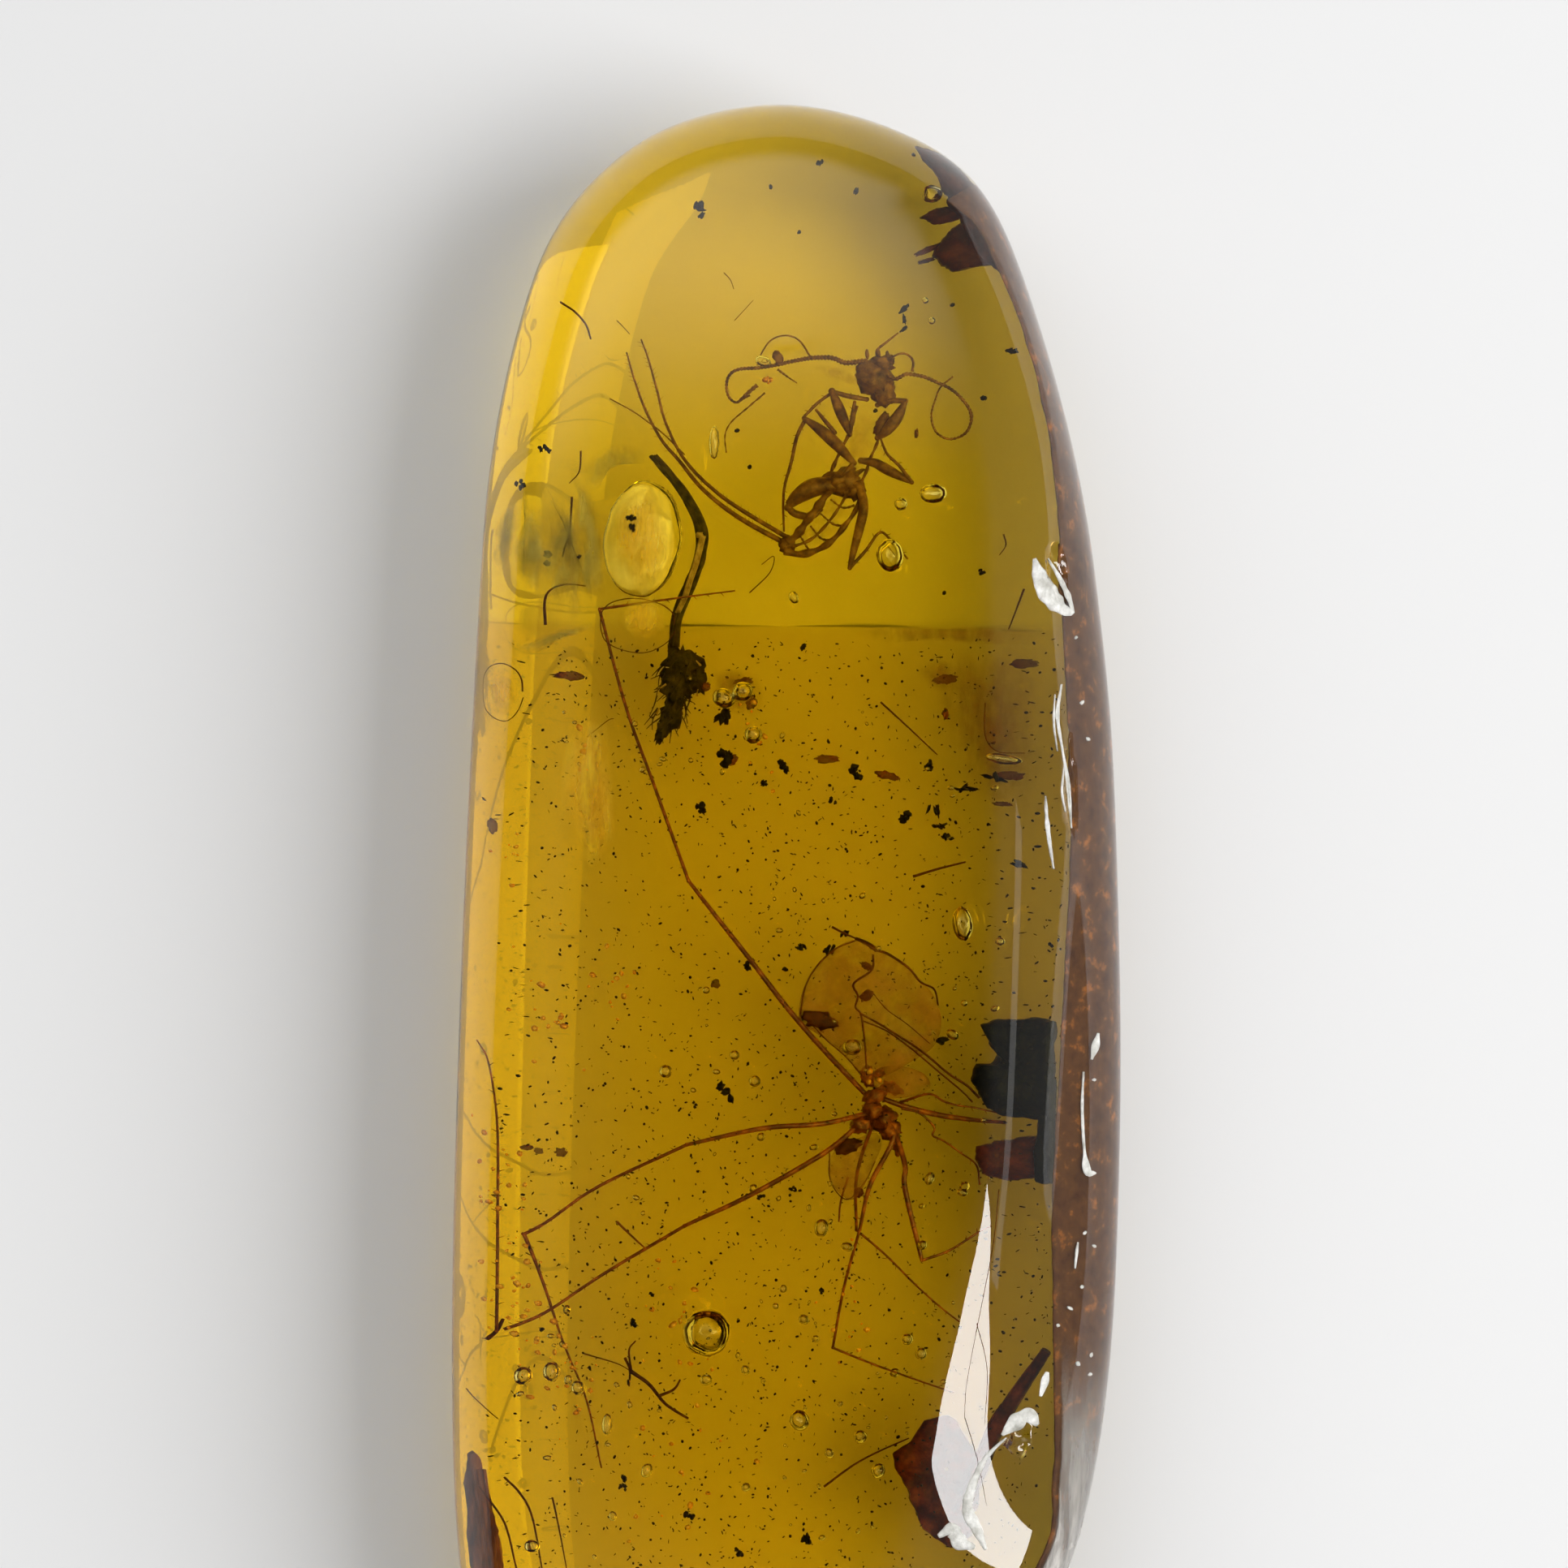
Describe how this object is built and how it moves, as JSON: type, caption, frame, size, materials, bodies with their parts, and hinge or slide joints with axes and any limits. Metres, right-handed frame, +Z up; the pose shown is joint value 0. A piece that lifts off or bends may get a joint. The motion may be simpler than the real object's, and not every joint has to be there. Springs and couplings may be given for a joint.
{
  "type": "insect in amber",
  "caption": "Polished tongue of clear golden amber, flat backed, with a crane fly, a slender cricket and plant scraps sealed inside.",
  "frame": {"origin": "middle of the outline, on the flat back that the stone rests on", "axes": "+Z up through the polished face, +Y along the stone towards its narrower end with the cricket, +X towards the flat side wall"},
  "size_m": [0.0166, 0.0422, 0.0072],
  "materials": {
    "amber": "clear golden amber, polished, see-through",
    "fly_cuticle": "red-brown insect cuticle, dull",
    "cricket_cuticle": "brown insect cuticle, dull and partly see-through",
    "plant_hair": "dark olive plant hair",
    "bark": "red-brown bark, dull",
    "charcoal": "blue-black charred plant, dull",
    "red_leaf": "dark red-brown leaf, dull",
    "straw": "brown straw, dull"
  },
  "bodies": {
    "root": {"amber_upper": "amber", "amber_lower": "amber", "crane_fly": "fly_cuticle", "cricket": "cricket_cuticle", "plant_strand": "plant_hair", "bark_flake": "bark", "charred_fragment": "charcoal", "leaf_scrap": "red_leaf", "leaf_sliver": "straw"}
  },
  "joints": []
}
